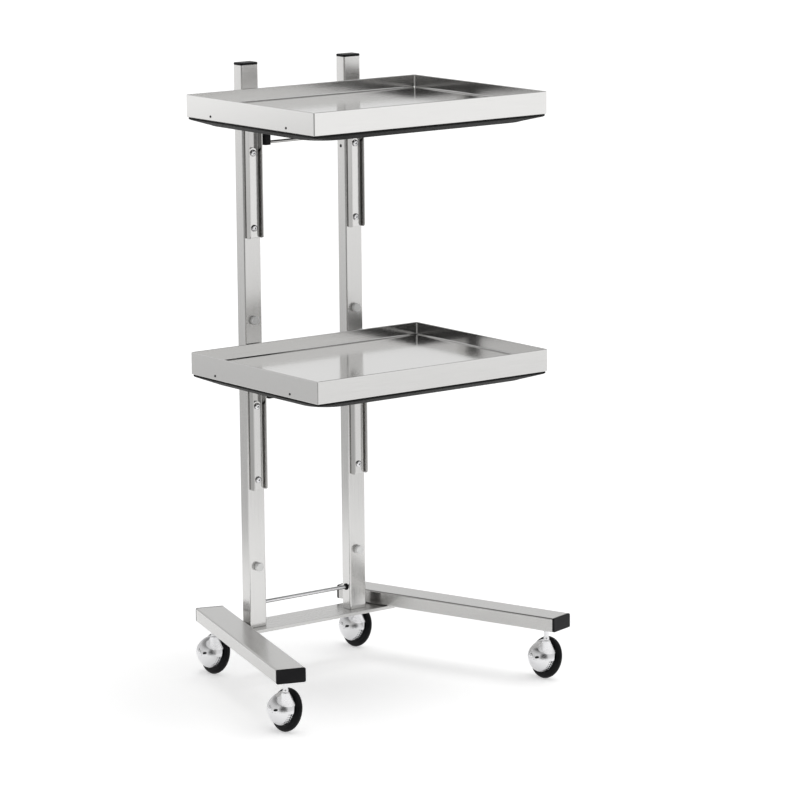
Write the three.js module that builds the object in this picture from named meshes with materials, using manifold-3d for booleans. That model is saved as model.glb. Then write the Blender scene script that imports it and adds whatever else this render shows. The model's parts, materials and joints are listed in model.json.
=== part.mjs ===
// Instrument cart with two fold-down trays, in millimetres, +Z up.
// +X runs to the cart's right along the trays' long edge, the trays reach forward along -Y,
// and the posts stand behind them. The floor is at z = 0.
import * as THREE from 'three';
import { mergeVertices } from 'three/addons/utils/BufferGeometryUtils.js';
import Module from 'manifold-3d';

const wasm = await Module();
wasm.setup();

// ---------------------------------------------------------------- driving dimensions
const gap = 0.3; // between touching pieces
const cutPast = 1; // how far a cut runs past the surface it opens

// Posts: rectangular tubes with a plug in the top.
const postWidth = 37;
const postDepth = 25.4;
const postWall = 1.6;
const postCorner = 3;
const postSpacing = 227; // centre to centre
const postFront = 3.3; // y of the posts' front faces, behind the trays' rear edge at y = 0
const postTop = 1137.5;
const capThickness = 4;
const plugLength = 14; // how far a cap's plug reaches into its tube
const plugCorner = 1;

// Feet: rectangular tubes laid flat, splayed outward towards the front.
const footWidth = 54;
const footHeight = 26;
const footWall = 2;
const footCorner = 3;
const footUnderside = 101;
const footRear = new THREE.Vector2(155.2, 101.3); // right foot, centre of the rear end
const footFront = new THREE.Vector2(303.1, -365.6); // right foot, centre of the front end
const stemFromFront = 34.5;
const stemFromRear = 25.4;

// Base plate under the feet, with the posts standing on it.
const plateLength = 370;
const plateDepth = 73;
const plateThickness = 6.4;
const plateCentreY = 20;

// Tie rod between the posts.
const tieRodHeight = 143;
const tieRodRadius = 3.5;
const tieRodBite = 8; // how far it reaches into each post
const grommetRadius = 6.2;
const grommetThickness = 1.6;

// Trays: height of each rim.
const trayRims = { upper: 1091, lower: 629 };
const trayLength = 508;
const trayWidth = 386;
const trayCorner = 4;
const traySkirt = 40;
const trayWall = 2;
const trayPocket = 23; // from the rim down to the floor
const trayFloor = 1.2;
const boardCorner = 49; // of its underside
const boardWall = 4;
const boardLipBelowRim = 44; // where the board's upright edge ends and its sloping edge starts
const boardSlope = 16; // how far the sloping edge runs inward
const boardBelowRim = 53; // underside of the board

// Brackets: U channels, open to the front, screwed to the posts.
const bracketWidth = 30;
const bracketDepth = 14.5;
const bracketWall = 2;
const bracketBend = 2; // inside radius between the web and the flanges
const bracketTopBelowRim = 55;
const bracketBottomBelowRim = 269.5;
const screwsBelowRim = { top: 115.5, bottom: 251.5 };
const barWidth = 19;
const barThickness = 3;
const screwRadius = 2.5;
const screwHeadRadius = 6.4;
const screwHeadHeight = 3.4;
const screwReach = 9; // shank length behind the head

// Arms under the trays, nested in the brackets and hinged on a pin.
const armWidth = 24;
const armWall = 2;
const armLength = 262; // from the pin to the front end
const armTipDepth = 8;
const armHeel = 4.8; // radius of the rear end about the pin
const pivotBelowRim = 66.5;
const pivotY = -6.5;
const pinRadius = 2.5;
const pinHoleRadius = 2.59;
const pinHeadRadius = 4.5;
const pinHeadHeight = 1.6;

// Release bars: a rod with a block beside each bracket.
const releaseRodBelowRim = 97.5;
const releaseRodRadius = 3;
const releaseRodY = -8;
const blockWidth = 14;
const blockDepth = 16;
const blockHeight = 30;
const blockDrop = 4.5; // from the rod's axis down to the block's underside

// Bumpers on the posts, where the folded trays' boards rest.
const bumpersBelowRim = { upper: 420, lower: 414.5 };
const bumperRadius = 8;
const bumperHeight = 8.5;
const bumperPlugRadius = 4;
const bumperPlugLength = 5;

// Ball casters. The wheel's centre trails the stem, and its axle leans, so that the dome looks up.
const wheelRadius = 39;
const wheelOffset = new THREE.Vector2(18.9, 21.7); // from the stem's axis to the wheel's middle
const wheelTurn = THREE.MathUtils.degToRad(2.4); // how each caster stands at rest
const wheelLean = THREE.MathUtils.degToRad(14.8);
const tyreWidth = 14;
const tyreInnerRadius = 28.4;
const tyreShoulder = 8.6; // how much lower the tyre's edges are than its middle
const hubRadius = 28;
const hubRecess = 2;
const bossRadius = 10;
const domeRadius = 29;
const domeOffset = -7; // from the wheel's middle to the dome's centre, along the axle
const hoodInnerRadius = 30.6;
const hoodOuterRadius = 33;
const hoodUpper = { from: 176, to: 264, above: 12 }; // degrees in plan, and lowest height from the axle
const hoodLower = { from: 214, to: 264, above: -3 };
const tongueWidth = 16; // the part of the hood that holds the axle
const tongueHeight = 24;
const stemRadius = 5;
const stemReach = 17; // into the foot
const collarRadius = 7;
const collarHeight = 7;
const neckRadius = 4.6;
const neckFoot = 54; // height of the neck's lower end, inside the hood
const neckHeight = 32;
const axleRadius = 3;
const axleHoleRadius = 3.09;
const axleEnd = 1; // how far the axle stands out on each side

// ---------------------------------------------------------------- materials
const metal = (color, roughness) => new THREE.MeshStandardMaterial({ color, roughness, metalness: 1 });
const plastic = (color, roughness) => new THREE.MeshStandardMaterial({ color, roughness, metalness: 0 });
const brushedSteel = metal(0xc4c3c1, 0.32);
const traySteel = metal(0xd2d1cf, 0.22);
const bracketSteel = metal(0xb0afad, 0.26);
const chrome = metal(0xe4e4e6, 0.06);
const blackPlastic = plastic(0x232224, 0.5);
const blackBoard = plastic(0x1b1a1a, 0.6);
const greyNylon = plastic(0xb5b4b1, 0.45);
const tyreRubber = plastic(0x141414, 0.7);

// ---------------------------------------------------------------- solid helpers
const roundSides = 14;
const holeSides = 10;
const wheelSides = 24;

function toSolid(geometry) {
  const bare = geometry.clone();
  bare.deleteAttribute('normal');
  bare.deleteAttribute('uv');
  const merged = mergeVertices(bare, 1e-4);
  const index = merged.index.array;
  const kept = [];
  for (let i = 0; i < index.length; i += 3) {
    const [a, b, c] = [index[i], index[i + 1], index[i + 2]];
    if (a !== b && b !== c && c !== a) kept.push(a, b, c);
  }
  return new wasm.Manifold(new wasm.Mesh({
    numProp: 3,
    vertProperties: new Float32Array(merged.attributes.position.array),
    triVerts: new Uint32Array(kept),
  }));
}

function toGeometry(solid) {
  const mesh = solid.getMesh();
  const geometry = new THREE.BufferGeometry();
  geometry.setAttribute('position', new THREE.BufferAttribute(mesh.vertProperties, 3));
  geometry.setIndex(new THREE.BufferAttribute(mesh.triVerts, 1));
  geometry.computeVertexNormals();
  return geometry;
}

function hullOf(...geometries) {
  return toGeometry(wasm.Manifold.hull(geometries.map(toSolid)));
}

const combine = (method) => (first, ...others) => {
  let solid = toSolid(first);
  for (const other of others) solid = solid[method](toSolid(other));
  return toGeometry(solid);
};
const cut = combine('subtract');
const join = combine('add');
const common = combine('intersect');

// ---------------------------------------------------------------- shape helpers
function roundedRectangle(width, depth, radius, Kind = THREE.Shape) {
  const x = width / 2;
  const y = depth / 2;
  const outline = new Kind();
  outline.moveTo(x - radius, -y);
  outline.absarc(x - radius, -y + radius, radius, -Math.PI / 2, 0);
  outline.absarc(x - radius, y - radius, radius, 0, Math.PI / 2);
  outline.absarc(-x + radius, y - radius, radius, Math.PI / 2, Math.PI);
  outline.absarc(-x + radius, -y + radius, radius, Math.PI, 1.5 * Math.PI);
  return outline;
}

// A prism of the outline from z = 0 up to z = height.
function prism(outline, height, curveSegments = 2) {
  return new THREE.ExtrudeGeometry(outline, { depth: height, bevelEnabled: false, curveSegments });
}

function slab(width, depth, height, radius, z = 0) {
  return prism(roundedRectangle(width, depth, radius), height).translate(0, 0, z);
}

function box(width, depth, height, x, y, z) {
  return new THREE.BoxGeometry(width, depth, height).translate(x, y, z);
}

// A solid of revolution about Z. Each profile point is [radius, z], from the axis round to it.
function turned(profile, sides = roundSides) {
  const points = profile.map(([radius, z]) => new THREE.Vector2(radius, z));
  return new THREE.LatheGeometry(points, sides).rotateX(Math.PI / 2);
}

function rod(radius, length, sides = roundSides) {
  return turned([[0, 0], [radius, 0], [radius, length], [0, length]], sides);
}

// Turns a shape made about +Z so that its axis lies along +X or along -Y.
const alongX = (geometry) => geometry.rotateY(Math.PI / 2);
const alongFront = (geometry) => geometry.rotateX(Math.PI / 2);

const cart = new THREE.Group();

function place(name, geometry, material, parent = cart) {
  const mesh = new THREE.Mesh(geometry, material);
  mesh.name = name;
  parent.add(mesh);
  return mesh;
}

const sides = [{ side: 'left', sign: -1 }, { side: 'right', sign: 1 }];
const plateTop = footUnderside - gap;
const postX = postSpacing / 2;
const postCentreY = postFront + postDepth / 2;

// ---------------------------------------------------------------- posts
// Heights, above the floor, of the round holes in a post's front face.
function postHoles() {
  const holes = [];
  for (const [level, rim] of Object.entries(trayRims)) {
    for (const below of Object.values(screwsBelowRim)) {
      holes.push({ height: rim - below, radius: screwRadius + gap });
    }
    holes.push({ height: rim - bumpersBelowRim[level], radius: bumperPlugRadius + gap });
  }
  return holes;
}

function postTube(sign) {
  const outline = roundedRectangle(postWidth, postDepth, postCorner);
  outline.holes.push(roundedRectangle(
    postWidth - 2 * postWall,
    postDepth - 2 * postWall,
    postCorner - postWall,
    THREE.Path,
  ));
  const bottom = plateTop + gap;
  const tube = prism(outline, postTop - capThickness - gap - bottom);
  const throughWall = 4 * postWall;
  const frontHoles = postHoles().map(({ height, radius }) => alongFront(rod(radius, throughWall, holeSides))
    .translate(0, -postDepth / 2 + throughWall / 2, height - bottom));
  const tieRodHole = alongX(rod(tieRodRadius + gap, throughWall, holeSides))
    .translate(-sign * postWidth / 2 - throughWall / 2, 0, tieRodHeight - bottom);
  return cut(tube, tieRodHole, ...frontHoles).translate(sign * postX, postCentreY, bottom);
}

// A plug for the end of a rectangular tube. The tube's end is at z = 0.
function endPlug(width, depth, wall, corner) {
  const head = slab(width, depth, capThickness, corner);
  const inset = 2 * (wall + gap);
  const plug = slab(width - inset, depth - inset, plugLength + capThickness / 2, plugCorner, -plugLength);
  return join(head, plug);
}

function buildPosts() {
  for (const { side, sign } of sides) {
    place(`post_${side}`, postTube(sign), brushedSteel);
    const plug = endPlug(postWidth, postDepth, postWall, postCorner);
    const cap = place(`post_cap_${side}`, plug, blackPlastic);
    cap.position.set(sign * postX, postCentreY, postTop - capThickness);
  }
}

// ---------------------------------------------------------------- base
function buildPlate() {
  const plate = slab(plateLength, plateDepth, plateThickness, 2);
  place('base_plate', plate, brushedSteel).position.set(0, plateCentreY, plateTop - plateThickness);
}

// A foot lies along its own +Y, from the front end at y = 0, centred on x = 0.
function footTube(length) {
  const outline = roundedRectangle(footWidth, footHeight, footCorner);
  outline.holes.push(roundedRectangle(
    footWidth - 2 * footWall,
    footHeight - 2 * footWall,
    footCorner - footWall,
    THREE.Path,
  ));
  const tubeLength = length - 2 * (capThickness + gap);
  const tube = prism(outline, tubeLength)
    .rotateX(-Math.PI / 2)
    .translate(0, capThickness + gap, footHeight / 2);
  const stemHole = (y) => rod(stemRadius + gap, 4 * footWall, holeSides).translate(0, y, -2 * footWall);
  return cut(tube, stemHole(stemFromFront), stemHole(length - stemFromRear));
}

function footCap() {
  return endPlug(footWidth, footHeight, footWall, footCorner)
    .rotateX(Math.PI / 2)
    .translate(0, capThickness, footHeight / 2);
}

function buildFeet() {
  const length = footFront.distanceTo(footRear);
  const splay = Math.atan2(footFront.x - footRear.x, footRear.y - footFront.y);
  for (const { side, sign } of sides) {
    const foot = new THREE.Group();
    foot.position.set(sign * footFront.x, footFront.y, footUnderside);
    foot.rotation.z = sign * splay;
    cart.add(foot);
    place(`foot_${side}`, footTube(length), brushedSteel, foot);
    place(`foot_cap_${side}_front`, footCap(), blackPlastic, foot);
    const rearCap = place(`foot_cap_${side}_rear`, footCap(), blackPlastic, foot);
    rearCap.rotation.z = Math.PI;
    rearCap.position.y = length;
  }
}

function buildTieRod() {
  const innerFace = postX - postWidth / 2;
  const length = 2 * (innerFace + tieRodBite);
  const bar = place('tie_rod', alongX(rod(tieRodRadius, length)), brushedSteel);
  bar.position.set(-length / 2, postCentreY, tieRodHeight);
  for (const { side, sign } of sides) {
    const ring = cut(
      rod(grommetRadius, grommetThickness),
      rod(tieRodRadius + gap, 3 * grommetThickness).translate(0, 0, -grommetThickness),
    );
    const grommet = place(`tie_rod_grommet_${side}`, alongX(ring), blackPlastic);
    const facing = innerFace - gap - (sign > 0 ? grommetThickness : 0);
    grommet.position.set(sign > 0 ? facing : -innerFace + gap, postCentreY, tieRodHeight);
  }
}

// ---------------------------------------------------------------- trays
function trayPan() {
  const outside = slab(trayLength, trayWidth, traySkirt, trayCorner, -traySkirt);
  const inside = [trayLength - 2 * trayWall, trayWidth - 2 * trayWall];
  const pocket = slab(...inside, trayPocket + cutPast, trayCorner - trayWall, -trayPocket);
  const underneath = traySkirt - trayPocket - trayFloor;
  const recess = slab(...inside, underneath + cutPast, trayCorner - trayWall, -traySkirt - cutPast);
  return cut(outside, pocket, recess);
}

// A shallow black tub, open towards the tray's floor. Its edge stands upright inside the skirt and slopes
// in below it.
function trayBoard() {
  const edge = trayWall + gap;
  const body = (inset, raised) => {
    const upright = [trayLength - 2 * (edge + inset), trayWidth - 2 * (edge + inset)];
    const underside = upright.map((length) => length - 2 * boardSlope);
    const lip = raised - boardLipBelowRim;
    return hullOf(
      slab(...upright, boardLipBelowRim - trayPocket - trayFloor - gap, edge, lip),
      prism(roundedRectangle(...underside, boardCorner - inset), cutPast, 4)
        .translate(0, 0, raised - boardBelowRim),
    );
  };
  return cut(body(0, 0), body(boardWall, boardWall));
}

// The arm's section is a U, open downwards. It runs forward from the pin under the board and tapers to its
// front end, which is closed.
function trayArm() {
  const pinHeight = -(pivotBelowRim - boardBelowRim - gap);
  const heelBottom = pinHeight - armHeel;
  const slope = (-armTipDepth - heelBottom) / armLength;
  // The arm seen from its side, with its first axis forward. The underside is lowered by `below`.
  const profile = (front, rear, top, below) => {
    const outline = new THREE.Shape();
    outline.moveTo(-rear, top);
    outline.lineTo(-rear, heelBottom - below);
    outline.lineTo(0, heelBottom - below);
    outline.lineTo(front, heelBottom + slope * front - below);
    outline.lineTo(front, top);
    return outline;
  };
  const plate = (outline, width) => prism(outline, width)
    .translate(0, 0, -width / 2)
    .rotateX(Math.PI / 2)
    .rotateZ(-Math.PI / 2);
  const outside = plate(profile(armLength, armHeel, 0, 0), armWidth);
  const channel = plate(
    profile(armLength - armWall, armHeel + cutPast, -armWall, cutPast),
    armWidth - 2 * armWall,
  );
  const pinHole = alongX(rod(pinHoleRadius, 2 * armWidth)).translate(-armWidth, 0, pinHeight);
  // Rounds the heel about the pin, so that it turns clear of the bracket.
  const corner = box(2 * armWidth, 2 * armHeel, 2 * armHeel, 0, armHeel, heelBottom);
  const heel = alongX(rod(armHeel, 2 * armWidth)).translate(-armWidth, 0, pinHeight);
  return cut(outside, channel, pinHole, cut(corner, heel));
}

function bracketChannel() {
  const height = bracketBottomBelowRim - bracketTopBelowRim;
  const w = bracketWidth / 2;
  const inner = w - bracketWall;
  const bend = bracketBend;
  const section = new THREE.Shape();
  section.moveTo(-w, -bracketDepth);
  section.lineTo(-inner, -bracketDepth);
  section.lineTo(-inner, -bracketWall - bend);
  section.absarc(-inner + bend, -bracketWall - bend, bend, Math.PI, Math.PI / 2, true);
  section.lineTo(inner - bend, -bracketWall);
  section.absarc(inner - bend, -bracketWall - bend, bend, Math.PI / 2, 0, true);
  section.lineTo(inner, -bracketDepth);
  section.lineTo(w, -bracketDepth);
  section.lineTo(w, 0);
  section.lineTo(-w, 0);
  const channel = prism(section, height).translate(0, 0, -bracketBottomBelowRim);
  const back = postFront - gap;
  const pinHole = alongX(rod(pinHoleRadius, 2 * bracketWidth))
    .translate(-bracketWidth, pivotY - back, -pivotBelowRim);
  return cut(channel, pinHole, ...screwHoles());
}

// Clearance holes for the two bracket screws, through anything near y = 0.
function screwHoles() {
  const reach = 40;
  return Object.values(screwsBelowRim).map((below) => alongFront(rod(screwRadius + gap, reach, holeSides))
    .translate(0, reach / 2, -below));
}

function backingBar() {
  const radius = barWidth / 2;
  const top = -screwsBelowRim.top;
  const bottom = gap - bracketBottomBelowRim;
  const outline = new THREE.Shape();
  outline.moveTo(-radius, bottom);
  outline.lineTo(radius, bottom);
  outline.lineTo(radius, top);
  outline.absarc(0, top, radius, 0, Math.PI);
  const bar = prism(outline, barThickness, 4).rotateX(Math.PI / 2);
  return cut(bar, ...screwHoles());
}

function bracketScrew() {
  const domed = [
    [0, screwHeadHeight],
    [screwHeadRadius * 0.55, screwHeadHeight * 0.86],
    [screwHeadRadius * 0.88, screwHeadHeight * 0.5],
    [screwHeadRadius, 0],
    [screwRadius, 0],
    [screwRadius, -screwReach],
    [0, -screwReach],
  ];
  return alongFront(turned(domed.reverse(), holeSides));
}

function pivotPin() {
  const shank = bracketWidth + 2 * gap;
  const end = shank + pinHeadHeight;
  const profile = [
    [0, -pinHeadHeight], [pinHeadRadius, -pinHeadHeight], [pinHeadRadius, 0],
    [pinRadius, 0], [pinRadius, shank],
    [pinHeadRadius, shank], [pinHeadRadius, end], [0, end],
  ];
  return alongX(turned(profile)).translate(-shank / 2, 0, 0);
}

// The rod runs between the two blocks, which stand beside the brackets' inner flanges.
function releaseBar() {
  const blockOuter = postX - bracketWidth / 2 - pinHeadHeight - 2 * gap;
  const blockX = blockOuter - blockWidth / 2;
  const bar = alongX(rod(releaseRodRadius, 2 * blockX)).translate(-blockX, 0, 0);
  const blocks = sides.map(({ sign }) => slab(blockWidth, blockDepth, blockHeight, 3, -blockDrop)
    .translate(sign * blockX, 0, 0));
  return join(bar, ...blocks);
}

function buildTray(level) {
  const rim = trayRims[level];
  const tray = new THREE.Group();
  tray.position.z = rim;
  cart.add(tray);
  place(`${level}_tray_pan`, trayPan(), traySteel, tray).position.y = -trayWidth / 2;
  place(`${level}_tray_board`, trayBoard(), blackBoard, tray).position.y = -trayWidth / 2;

  const webBack = postFront - gap;
  const barBack = webBack - bracketWall - gap;
  const headBack = barBack - barThickness - gap;
  for (const { side, sign } of sides) {
    const x = sign * postX;
    const arm = place(`${level}_arm_${side}`, trayArm(), bracketSteel, tray);
    arm.position.set(x, pivotY, -boardBelowRim - gap);
    const pin = place(`${level}_pivot_pin_${side}`, pivotPin(), chrome, tray);
    pin.position.set(x, pivotY, -pivotBelowRim);
    place(`${level}_bracket_${side}`, bracketChannel(), bracketSteel, tray).position.set(x, webBack, 0);
    place(`${level}_backing_bar_${side}`, backingBar(), brushedSteel, tray).position.set(x, barBack, 0);
    for (const [end, below] of Object.entries(screwsBelowRim)) {
      const screw = place(`${level}_bracket_screw_${side}_${end}`, bracketScrew(), chrome, tray);
      screw.position.set(x, headBack, -below);
    }
    const bumper = place(`${level}_bumper_${side}`, postBumper(), greyNylon, tray);
    bumper.position.set(x, webBack, -bumpersBelowRim[level]);
  }
  place(`${level}_release_bar`, releaseBar(), blackPlastic, tray)
    .position.set(0, releaseRodY, -releaseRodBelowRim);
}

function postBumper() {
  const profile = [
    [0, -bumperPlugLength], [bumperPlugRadius, -bumperPlugLength], [bumperPlugRadius, 0],
    [bumperRadius, 0], [bumperRadius, bumperHeight * 0.6], [bumperRadius * 0.8, bumperHeight],
    [0, bumperHeight],
  ];
  return alongFront(turned(profile));
}

// ---------------------------------------------------------------- casters
// A caster's own frame has the stem on its Z axis and the floor at z = 0. The wheel's own frame has its
// origin at the wheel's middle and the axle along X, and it leans about Y until the tyre stands on the floor.
const tyreProfile = [];
const tyreSteps = 6;
for (let i = 0; i <= tyreSteps; i += 1) {
  const angle = Math.PI * (i / tyreSteps);
  const radius = wheelRadius - tyreShoulder * (1 - Math.sin(angle));
  tyreProfile.push([radius, (-tyreWidth / 2) * Math.cos(angle)]);
}
const drops = tyreProfile.map(([radius, x]) => radius * Math.cos(wheelLean) + x * Math.sin(wheelLean));
const wheelCentre = new THREE.Vector3(wheelOffset.x, wheelOffset.y, Math.max(...drops));

// Leans a shape of the wheel's frame and brings it into the caster's frame.
function leaned(geometry) {
  return geometry.rotateY(wheelLean).translate(...wheelCentre);
}

// A wedge of the space round the dome's centre, between two angles in plan and two heights.
function wedge(degrees, low, high) {
  const outline = new THREE.Shape();
  const from = THREE.MathUtils.degToRad(degrees.from);
  const to = THREE.MathUtils.degToRad(degrees.to);
  const reach = 2 * hoodOuterRadius;
  outline.moveTo(0, 0);
  outline.lineTo(reach * Math.cos(from), reach * Math.sin(from));
  outline.absarc(0, 0, reach, from, to);
  return prism(outline, high - low).translate(domeOffset, 0, low);
}

function ball(radius) {
  const rings = 8;
  const profile = [];
  for (let i = 0; i <= rings; i += 1) {
    const angle = Math.PI * (i / rings - 0.5);
    profile.push([i % rings ? radius * Math.cos(angle) : 0, radius * Math.sin(angle)]);
  }
  return turned(profile, wheelSides).translate(domeOffset, 0, 0);
}

// The hood covers the top of the dome and reaches down its front, and a tongue holds the axle.
function casterHood() {
  const upperEdge = hoodUpper.above;
  const tongue = box(hoodOuterRadius, tongueWidth, tongueHeight, 0, 0, 0)
    .translate(domeOffset - hoodOuterRadius, 0, upperEdge + cutPast - tongueHeight / 2);
  const region = join(
    wedge(hoodUpper, upperEdge, hoodOuterRadius),
    wedge(hoodLower, hoodLower.above, upperEdge + cutPast),
    tongue,
  );
  // Everything that would reach the tyre is cut away.
  const reach = 3 * hoodOuterRadius;
  const tyreRoom = box(reach, reach, reach, reach / 2 - tyreWidth / 2 - 2 * gap, 0, 0);
  return cut(common(cut(ball(hoodOuterRadius), ball(hoodInnerRadius)), region), tyreRoom);
}

function casterSwivel() {
  const neckTop = neckFoot + neckHeight;
  const under = footUnderside - gap;
  const stem = turned([
    [0, neckFoot], [neckRadius, neckFoot], [neckRadius, neckTop],
    [collarRadius, under - collarHeight], [collarRadius, under],
    [stemRadius, under], [stemRadius, under + stemReach], [0, under + stemReach],
  ]);
  const axleFrom = domeOffset - hoodOuterRadius - axleEnd;
  const axleTo = tyreWidth / 2 + axleEnd;
  const axle = alongX(rod(axleRadius, axleTo - axleFrom)).translate(axleFrom, 0, 0);
  // The neck ends on the hood, so nothing of it reaches the dome.
  return join(cut(stem, leaned(ball(hoodInnerRadius))), leaned(casterHood()), leaned(axle));
}

// Hub and tyre are turned about X through the wheel's centre.
function wheelHub() {
  const half = tyreWidth / 2;
  const profile = [];
  const steps = 4;
  const start = Math.asin(axleHoleRadius / domeRadius);
  const end = Math.acos((half + gap + domeOffset) / domeRadius);
  for (let i = 0; i <= steps; i += 1) {
    const angle = start + (end - start) * (i / steps);
    profile.push([domeRadius * Math.sin(angle), domeOffset - domeRadius * Math.cos(angle)]);
  }
  profile.push([hubRadius, -half - gap], [hubRadius, half - hubRecess]);
  profile.push([bossRadius, half - hubRecess], [bossRadius - hubRecess, half], [axleHoleRadius, half]);
  profile.push(profile[0]);
  return alongX(turned(profile, wheelSides));
}

function wheelTyre() {
  const half = tyreWidth / 2;
  const bore = [[tyreInnerRadius, half], [tyreInnerRadius, -half]];
  return alongX(turned([bore[1], ...tyreProfile, ...bore], wheelSides));
}

function buildCaster(name, x, y) {
  const caster = new THREE.Group();
  caster.position.set(x, y, 0);
  caster.rotation.z = wheelTurn;
  cart.add(caster);
  place(`${name}_swivel`, casterSwivel(), chrome, caster);
  const wheel = new THREE.Group();
  wheel.position.copy(wheelCentre);
  wheel.rotation.y = wheelLean;
  caster.add(wheel);
  place(`${name}_hub`, wheelHub(), chrome, wheel);
  place(`${name}_tyre`, wheelTyre(), tyreRubber, wheel);
}

function buildCasters() {
  const along = footRear.clone().sub(footFront).normalize();
  const ends = {
    front: footFront.clone().addScaledVector(along, stemFromFront),
    rear: footRear.clone().addScaledVector(along, -stemFromRear),
  };
  for (const { side, sign } of sides) {
    for (const [end, stem] of Object.entries(ends)) {
      buildCaster(`caster_${end}_${side}`, sign * stem.x, stem.y);
    }
  }
}

// ---------------------------------------------------------------- assembly
buildPosts();
buildPlate();
buildFeet();
buildTieRod();
buildTray('upper');
buildTray('lower');
buildCasters();

// The origin is on the floor, under the middle of the whole cart.
const bounds = new THREE.Box3().setFromObject(cart, true);
const centre = bounds.getCenter(new THREE.Vector3());
cart.position.set(-centre.x, -centre.y, -bounds.min.z);

export default cart;
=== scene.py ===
# Looks of the instrument cart: detailed pieces, procedural materials, light and camera.
# Lengths are in metres. +X is the cart's right, -Y its front, and the floor is at z = 0.
import json
import math

import bmesh
import bpy
from mathutils import Matrix, Vector
from mathutils.geometry import delaunay_2d_cdt


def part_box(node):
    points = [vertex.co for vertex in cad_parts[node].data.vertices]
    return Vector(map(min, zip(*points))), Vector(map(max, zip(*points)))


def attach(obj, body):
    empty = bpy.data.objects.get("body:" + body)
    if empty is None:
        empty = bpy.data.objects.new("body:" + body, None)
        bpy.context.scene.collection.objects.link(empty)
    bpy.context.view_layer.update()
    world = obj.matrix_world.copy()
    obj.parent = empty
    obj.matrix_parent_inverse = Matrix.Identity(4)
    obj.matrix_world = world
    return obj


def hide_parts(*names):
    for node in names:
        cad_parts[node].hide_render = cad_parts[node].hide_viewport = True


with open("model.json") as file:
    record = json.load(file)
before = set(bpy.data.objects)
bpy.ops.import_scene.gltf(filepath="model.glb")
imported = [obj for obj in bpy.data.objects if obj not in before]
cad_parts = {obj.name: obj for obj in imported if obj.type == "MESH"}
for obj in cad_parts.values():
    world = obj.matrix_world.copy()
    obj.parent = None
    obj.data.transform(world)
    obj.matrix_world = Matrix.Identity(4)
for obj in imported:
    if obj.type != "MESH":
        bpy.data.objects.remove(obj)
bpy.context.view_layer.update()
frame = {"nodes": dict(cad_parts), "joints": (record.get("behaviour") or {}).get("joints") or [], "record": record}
record = frame["record"]
MM = 0.001
SIDES = {"left": -1, "right": 1}
LEVELS = ("upper", "lower")

# ---------------------------------------------------------------- dimensions of the details
GAP = 0.3 * MM  # left between pieces that touch on the real cart

# Posts and base
POST_WALL = 1.6 * MM
POST_CORNER = 3.0 * MM
CAP_EDGE = 1.2 * MM
CAP_PLUG = 14 * MM  # how far a cap's plug goes into its tube
SIDE_PLUG_DROP = 121 * MM  # below the upper tray's rim
PLATE_EDGE = 0.6 * MM
PLATE_CORNER = 2 * MM
FOOT_WIDTH = 54 * MM
FOOT_HEIGHT = 26 * MM
FOOT_WALL = 2.0 * MM
FOOT_CORNER = 3.0 * MM
FOOT_CAP = 4.0 * MM
STEM_FROM_FRONT = 34.5 * MM
STEM_FROM_REAR = 25.4 * MM

# Trays
TRAY_CORNER = 2.5 * MM
TRAY_INNER_CORNER = 1.5 * MM
TRAY_WALL = 2.0 * MM
TRAY_POCKET = 23.0 * MM
TRAY_FLOOR = 1.2 * MM
TRAY_FILLET = 2.5 * MM
BOARD_WALL = 4.0 * MM
BOARD_LIP = 19.5 * MM  # height of the board's upright edge, above its slope
BOARD_SLOPE = 16 * MM
BOARD_CORNERS = (2.5 * MM, 49 * MM)  # of the upright edge and of the underside
SKIRT_SCREWS = (76 * MM, 304 * MM)  # from the tray's rear edge
SKIRT_SCREW_DROP = 33 * MM

# Brackets, screws, bumpers and pins. A screw is given as the radius and height of its head and the
# half width of its hexagon socket.
CHANNEL_WALL = 2.0 * MM
CHANNEL_BEND = 2.0 * MM
CHANNEL_NOSE = 5.0 * MM  # rounding of the flanges' free corners
SKIRT_SCREW = (2.3 * MM, 1.1 * MM, 1.1 * MM)
BLOCK_SCREW = (3.2 * MM, 1.4 * MM, 1.6 * MM)
BRACKET_SCREW = (6.2 * MM, 3.3 * MM, 2.0 * MM)
BRACKET_SHANK = 2.4 * MM  # radius
BUMPER_RADIUS = 8 * MM
BUMPER_HEAD = 8.5 * MM
BUMPER_PEG = (4 * MM, 5 * MM)  # radius and length
PIN_RADIUS = 2.5 * MM
PIN_HEAD = 1.6 * MM

# Release bars
ROD_RADIUS = 3.0 * MM
ROD_HEIGHT = 4.5 * MM  # above the blocks' undersides
BLOCK = (14 * MM, 16 * MM, 30 * MM)
BLOCK_SCREW_HEIGHT = 19 * MM

# Casters
WHEEL_RADIUS = 39 * MM
TYRE_WIDTH = 14 * MM
TYRE_BORE = 28.4 * MM
TYRE_SHOULDER = 8.6 * MM
TYRE_RIDGE = 0.25 * MM  # height of the moulding line round its middle
DOME_RADIUS = 29 * MM
DOME_SHIFT = -7 * MM  # from the wheel's middle to the dome's centre, along the axle
DOME_NOTCHES = 40
DOME_NOTCH_DEPTH = 2 * MM
HUB_RADIUS = 28 * MM
HUB_BORE = 3.09 * MM
AXLE_RADIUS = 3 * MM
AXLE_END = 5.2 * MM  # radius of its domed ends
HOOD_INSIDE = 30.6 * MM  # radius
HOOD_OUTSIDE = 33 * MM  # radius
NECK_RADIUS = 4.6 * MM
COLLAR_RADIUS = 7 * MM
STEM_RADIUS = 5 * MM
STEM_LENGTH = 17 * MM  # inside the foot
SHOULDER_RADIUS = 6.6 * MM
SHOULDER_TOP = 77 * MM

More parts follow.
